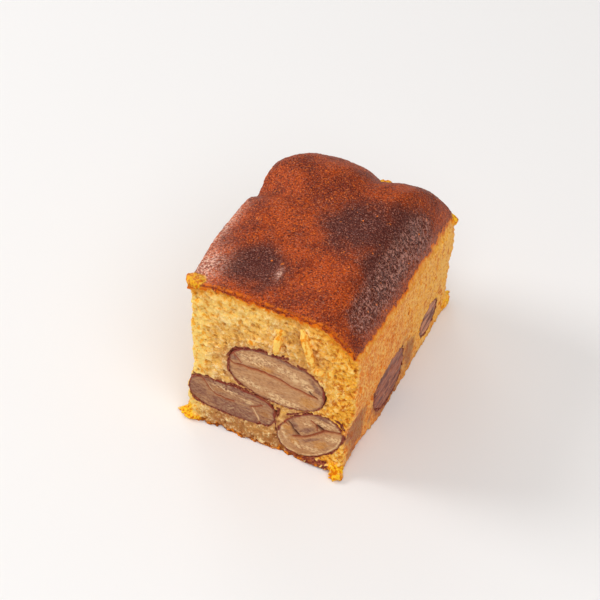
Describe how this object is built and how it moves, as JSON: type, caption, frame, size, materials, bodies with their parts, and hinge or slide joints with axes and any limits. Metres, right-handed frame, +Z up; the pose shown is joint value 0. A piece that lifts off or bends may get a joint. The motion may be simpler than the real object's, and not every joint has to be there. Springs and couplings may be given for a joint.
{
  "type": "chestnut cake slice",
  "caption": "Block-shaped slice of chestnut cake with a lobed brown crust, porous yellow crumb on its cut sides and whole chestnuts cut open low in the crumb.",
  "frame": {"origin": "on the table under the middle of the slice's box", "axes": "+Z up, -Y out of the front cut face, +X out of the baked right side, +Y along the slice's length to its back"},
  "size_m": [0.0542, 0.0821, 0.0581],
  "materials": {
    "cake": "baked brown crust over porous yellow crumb",
    "chestnut": "satin candied chestnut with a dark red skin"
  },
  "bodies": {
    "root": {"cake": "cake", "chestnut_top": "chestnut", "chestnut_left": "chestnut", "chestnut_corner": "chestnut", "chestnut_side": "chestnut", "chestnut_back": "chestnut", "chestnut_far_left": "chestnut", "chestnut_far_back": "chestnut"}
  },
  "joints": []
}
